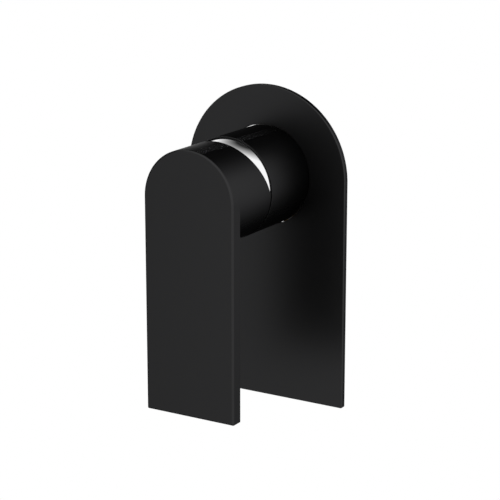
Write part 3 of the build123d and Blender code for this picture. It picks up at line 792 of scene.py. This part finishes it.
def cut_ports(material, tone, roughness, thread_depth):
    """Cuts the ports bright in a cast material."""
    tree = material.node_tree
    shader, place, grain, skin = (
        next(node for node in tree.nodes if node.bl_idname == "ShaderNode" + kind)
        for kind in ("BsdfPrincipled", "TexCoord", "Group", "Bump")
    )
    ports = add(tree, "ShaderNodeGroup", node_tree=shared_group("ports"))
    ports.inputs["Cut Tone"].default_value = rgba(tone)
    ports.inputs["Cut Roughness"].default_value = roughness
    bump = skin.inputs["Distance"].default_value
    ports.inputs["Thread Height"].default_value = 2 * thread_depth / bump
    for source, entry in (
        (place.outputs["Object"], "Vector"),
        (grain.outputs["Color"], "Cast Tone"),
        (grain.outputs["Roughness"], "Cast Roughness"),
        (grain.outputs["Height"], "Cast Height"),
    ):
        tree.links.new(source, ports.inputs[entry])
    tree.links.new(ports.outputs["Color"], shader.inputs["Base Color"])
    tree.links.new(ports.outputs["Roughness"], shader.inputs["Roughness"])
    tree.links.new(ports.outputs["Height"], skin.inputs["Height"])
    return material


def make_finishes(looks):
    """Every finish of the mixer, by the name of its material slot."""
    return {
        "satin_black": finish(
            "Satin Black Coating", looks.black, 0.03, looks.black_roughness, 0.03,
            0.35 * MM, 9 * MM, 0.4e-6, Metallic=1.0, Specular_Tint=rgba([looks.black_edge] * 3),
        ),
        "chrome": finish(
            "Bright Chrome", looks.chrome, 0.01, 0.05, 0.02, 1.2 * MM, 12 * MM, 0.1e-6, Metallic=1.0
        ),
        "brass": finish(
            "Turned Brass", looks.brass, 0.06, 0.26, 0.12, 0.3 * MM, 5 * MM, 1.5e-6,
            turning=0.35 * MM, Metallic=1.0,
        ),
        "casting": cut_ports(
            finish(
                "Cast Brass", looks.brass_skin, 0.18, 0.5, 0.2, 0.5 * MM, 6 * MM, 45e-6,
                Metallic=1.0,
            ),
            looks.brass, 0.24, 1.1 * MM,
        ),
        "steel": finish(
            "Turned Steel", looks.steel, 0.05, 0.28, 0.1, 0.2 * MM, 4 * MM, 1.5e-6,
            turning=0.25 * MM, Metallic=1.0,
        ),
        "white_plastic": finish(
            "White Moulding", looks.white_plastic, 0.02, 0.42, 0.1, 0.12 * MM, 5 * MM, 3e-6
        ),
        "grey_plastic": finish(
            "Grey Moulding", looks.grey_plastic, 0.05, 0.4, 0.1, 0.12 * MM, 5 * MM, 3e-6
        ),
        "black_plastic": finish(
            "Black Moulding", looks.black_plastic, 0.08, 0.4, 0.1, 0.1 * MM, 4 * MM, 2e-6
        ),
        "ceramic": finish(
            "Lapped Ceramic", looks.ceramic, 0.02, 0.16, 0.06, 0.08 * MM, 3 * MM, 0.5e-6
        ),
        "rubber": finish(
            "Seal Rubber", looks.rubber, 0.15, 0.55, 0.12, 0.1 * MM, 2 * MM, 3e-6
        ),
        "foam_rubber": finish(
            "Foam Strip", looks.foam, 0.3, 0.85, 0.1, 0.3 * MM, 2 * MM, 60e-6
        ),
    }


CARTRIDGE_FINISHES = {
    "cartridge_housing": "white_plastic",
    "cartridge_rotor": "grey_plastic",
    "cartridge_base": "grey_plastic",
    "disc_driver": "grey_plastic",
    "glide_washer": "white_plastic",
    "moving_disc": "ceramic",
    "fixed_disc": "ceramic",
    "disc_seal": "rubber",
    "base_seals": "rubber",
    "spindle": "steel",
    "pivot_pin": "steel",
    "cartridge_nut": "brass",
}
BODY_FINISHES = {
    "valve_body": "casting",
    "outlet_plug": "brass",
    "plug_seal": "rubber",
    "sleeve_seals": "rubber",
    "plate_gasket": "foam_rubber",
}
FASTENER_FINISHES = {"handle_grub_screw": "steel", "grub_screw_cap": "black_plastic"}


# The name of each slot's material, filled in when the finishes are made
FINISH_NAMES = {}


def coat(pieces):
    """Gives CAD nodes or new pieces the finish that is named for each."""
    finishes = {material.name: material for material in bpy.data.materials}
    for name, slot in pieces.items():
        piece = frame["nodes"].get(name) or bpy.data.objects[name]
        material = finishes[FINISH_NAMES[slot]]
        if not piece.material_slots:
            piece.data.materials.append(material)
        for holder in piece.material_slots:
            holder.material = material


class MIXER_OT_finishes(bpy.types.Operator):
    """Makes the finishes that every piece of the mixer uses"""

    bl_idname = "mixer.finishes"
    bl_label = "Finishes"

    def execute(self, context):
        made = make_finishes(settings().finishes)
        FINISH_NAMES.update({slot: material.name for slot, material in made.items()})
        return {"FINISHED"}


class MIXER_OT_cover_plate(bpy.types.Operator):
    """Models the thin arch-shaped plate on the wall, with the groove for its foam strip"""

    bl_idname = "mixer.cover_plate"
    bl_label = "Cover plate"

    def execute(self, context):
        coat({make_cover_plate(settings().trim).name: "satin_black"})
        return {"FINISHED"}


class MIXER_OT_sleeve(bpy.types.Operator):
    """Models the round black sleeve that stands out from the plate"""

    bl_idname = "mixer.sleeve"
    bl_label = "Sleeve"

    def execute(self, context):
        coat({make_sleeve(settings().trim).name: "satin_black"})
        return {"FINISHED"}


class MIXER_OT_ball_cap(bpy.types.Operator):
    """Models the chrome ball that shows in the gap behind the handle"""

    bl_idname = "mixer.ball_cap"
    bl_label = "Ball cap"

    def execute(self, context):
        coat({make_ball_cap(settings().trim, settings().handle).name: "chrome"})
        return {"FINISHED"}


class MIXER_OT_handle(bpy.types.Operator):
    """Models the flat lever with its round hub, its socket and its screw hole"""

    bl_idname = "mixer.handle"
    bl_label = "Handle"

    def execute(self, context):
        coat({make_handle(settings().handle, settings().trim).name: "satin_black"})
        return {"FINISHED"}


class MIXER_OT_cartridge(bpy.types.Operator):
    """Gives the cartridge's pieces their plastics, ceramics, rubber and steel"""

    bl_idname = "mixer.cartridge"
    bl_label = "Cartridge"

    def execute(self, context):
        coat(CARTRIDGE_FINISHES)
        return {"FINISHED"}


class MIXER_OT_valve_body(bpy.types.Operator):
    """Gives the brass casting, its plug and the seals their finishes"""

    bl_idname = "mixer.valve_body"
    bl_label = "Valve body"

    def execute(self, context):
        coat(BODY_FINISHES)
        return {"FINISHED"}


class MIXER_OT_fasteners(bpy.types.Operator):
    """Gives the handle's grub screw and its cap their finishes"""

    bl_idname = "mixer.fasteners"
    bl_label = "Fasteners"

    def execute(self, context):
        coat(FASTENER_FINISHES)
        return {"FINISHED"}


def white_ray_mask(tree):
    """1 for rays from the camera, from glossy surfaces and through clear ones."""
    path = add(tree, "ShaderNodeLightPath")
    first = math_node(tree, "MAXIMUM", path.outputs["Is Camera Ray"], path.outputs["Is Glossy Ray"])
    return math_node(tree, "MAXIMUM", first, path.outputs["Is Transmission Ray"])


# Darker patches of the light tent that the gloss sees: the direction of each patch's middle, the
# angles from it in degrees where the patch is darkest and where it ends, and its darkest light
TENT_PATCHES = {
    "opening above and behind": ((-0.043, 0.614, 0.788), 14, 41, 0.02),
    "side on the left": ((-0.95, -0.3, 0.0), 12, 52, 0.05),
    "ground": ((0.0, 0.0, -1.0), 25, 80, 0.2),
}


def tent_light(tree):
    """How bright the light tent looks by direction."""
    place = add(tree, "ShaderNodeTexCoord")
    light = 1.0
    for label, (towards, core, edge, darkest) in TENT_PATCHES.items():
        closeness = add(tree, "ShaderNodeVectorMath", operation="DOT_PRODUCT", label=label)
        tree.links.new(place.outputs["Generated"], closeness.inputs[0])
        closeness.inputs[1].default_value = Vector(towards).normalized()
        fade = add(tree, "ShaderNodeMapRange")
        tree.links.new(closeness.outputs["Value"], fade.inputs["Value"])
        fade.inputs["From Min"].default_value = math.cos(math.radians(edge))
        fade.inputs["From Max"].default_value = math.cos(math.radians(core))
        fade.inputs["To Min"].default_value = 1.0
        fade.inputs["To Max"].default_value = darkest
        light = math_node(tree, "MULTIPLY", light, fade.outputs["Result"])
    return light


def make_room(studio):
    """A white light tent. Only the gloss sees its darker patches, and dull faces a dimmer white."""
    world = bpy.data.worlds.new("Room")
    bpy.context.scene.world = world
    world.use_nodes = True
    tree = world.node_tree
    dim = tree.nodes["Background"]
    dim.inputs["Color"].default_value = (1, 1, 1, 1)
    dim.inputs["Strength"].default_value = studio.room_light
    white = add(tree, "ShaderNodeBackground", in_Color=(1, 1, 1, 1))
    path = add(tree, "ShaderNodeLightPath")
    seen = math_node(tree, "MAXIMUM", path.outputs["Is Camera Ray"], tent_light(tree))
    tree.links.new(seen, white.inputs["Strength"])
    mix = add(tree, "ShaderNodeMixShader")
    tree.links.new(white_ray_mask(tree), mix.inputs[0])
    tree.links.new(dim.outputs[0], mix.inputs[1])
    tree.links.new(white.outputs[0], mix.inputs[2])
    tree.links.new(mix.outputs[0], tree.nodes["World Output"].inputs["Surface"])


def make_floor(studio):
    clear_selection()
    bpy.ops.mesh.primitive_plane_add(size=FLOOR_SIZE, location=(0, 0, -studio.floor_drop))
    floor = named("studio_floor")
    floor.visible_glossy = False
    material = bpy.data.materials.new("Pale Floor")
    material.use_nodes = True
    tree = material.node_tree
    paint = tree.nodes["Principled BSDF"]
    paint.inputs["Base Color"].default_value = (0.92, 0.92, 0.92, 1)
    paint.inputs["Roughness"].default_value = 0.9
    white = add(tree, "ShaderNodeEmission", in_Color=(1, 1, 1, 1), in_Strength=1.0)
    mix = add(tree, "ShaderNodeMixShader")
    tree.links.new(white_ray_mask(tree), mix.inputs[0])
    tree.links.new(paint.outputs[0], mix.inputs[1])
    tree.links.new(white.outputs[0], mix.inputs[2])
    tree.links.new(mix.outputs[0], tree.nodes["Material Output"].inputs["Surface"])
    floor.data.materials.append(material)


def soft_box(name, place, size, radiance):
    """A square lamp that faces the mixer. A radiance of 1 looks white."""
    lamp = bpy.data.lights.new(name, "AREA")
    lamp.size = size
    lamp.energy = radiance * math.pi * size * size
    holder = bpy.data.objects.new(name, lamp)
    bpy.context.scene.collection.objects.link(holder)
    holder.location = place
    holder.rotation_euler = (-holder.location).to_track_quat("-Z", "Y").to_euler()
    return holder


FLOOR_SIZE = 14.0
SENSOR_WIDTH = 36.0
NEAREST_SEEN = 0.01
KEY_LIGHT_PLACE = (-1.1, -1.3, 0.9)
KEY_LIGHT_SIZE = 1.2
KEY_LIGHT_RADIANCE = 0.6


class MIXER_OT_stage(bpy.types.Operator):
    """Sets up the camera at the photographed angle, the pale floor and the soft light"""

    bl_idname = "mixer.stage"
    bl_label = "Stage"

    def execute(self, context):
        studio = settings().studio
        camera = bpy.data.objects.new("Camera", bpy.data.cameras.new("Camera"))
        context.scene.collection.objects.link(camera)
        camera.location = studio.camera_place
        camera.rotation_euler = (math.pi / 2 - studio.camera_tilt, 0, studio.camera_turn)
        camera.data.lens = studio.lens
        camera.data.sensor_width = SENSOR_WIDTH
        camera.data.clip_start = NEAREST_SEEN
        context.scene.camera = camera
        make_room(studio)
        make_floor(studio)
        key_light = soft_box("key_light", KEY_LIGHT_PLACE, KEY_LIGHT_SIZE, KEY_LIGHT_RADIANCE)
        key_light.visible_glossy = False
        context.scene.view_settings.view_transform = "Standard"
        return {"FINISHED"}


STEPS = (
    MIXER_OT_finishes,
    MIXER_OT_cover_plate,
    MIXER_OT_sleeve,
    MIXER_OT_ball_cap,
    MIXER_OT_handle,
    MIXER_OT_cartridge,
    MIXER_OT_valve_body,
    MIXER_OT_fasteners,
    MIXER_OT_stage,
)


class MIXER_PT_panel(bpy.types.Panel):
    """The mixer's steps, in the 3D view's sidebar"""

    bl_idname = "MIXER_PT_panel"
    bl_label = "Shower Mixer"
    bl_space_type = "VIEW_3D"
    bl_region_type = "UI"
    bl_category = "Mixer"

    def draw(self, context):
        for step in STEPS:
            self.layout.operator(step.bl_idname)
        for group in (settings().trim, settings().handle, settings().finishes, settings().studio):
            box = self.layout.box()
            for name in group.__annotations__:
                box.prop(group, name)


CLASSES = (
    MixerTrimSizes,
    MixerHandleSizes,
    MixerFinishes,
    MixerStudio,
    MixerSettings,
    *STEPS,
    MIXER_PT_panel,
)


def register():
    for item in CLASSES:
        bpy.utils.register_class(item)
    bpy.types.Scene.mixer = bpy.props.PointerProperty(type=MixerSettings)


def unregister():
    del bpy.types.Scene.mixer
    for item in reversed(CLASSES):
        bpy.utils.unregister_class(item)


def main():
    register()
    for step in STEPS:
        category, name = step.bl_idname.split(".")
        getattr(getattr(bpy.ops, category), name)()
    clear_selection()


if __name__ == "__main__":
    main()
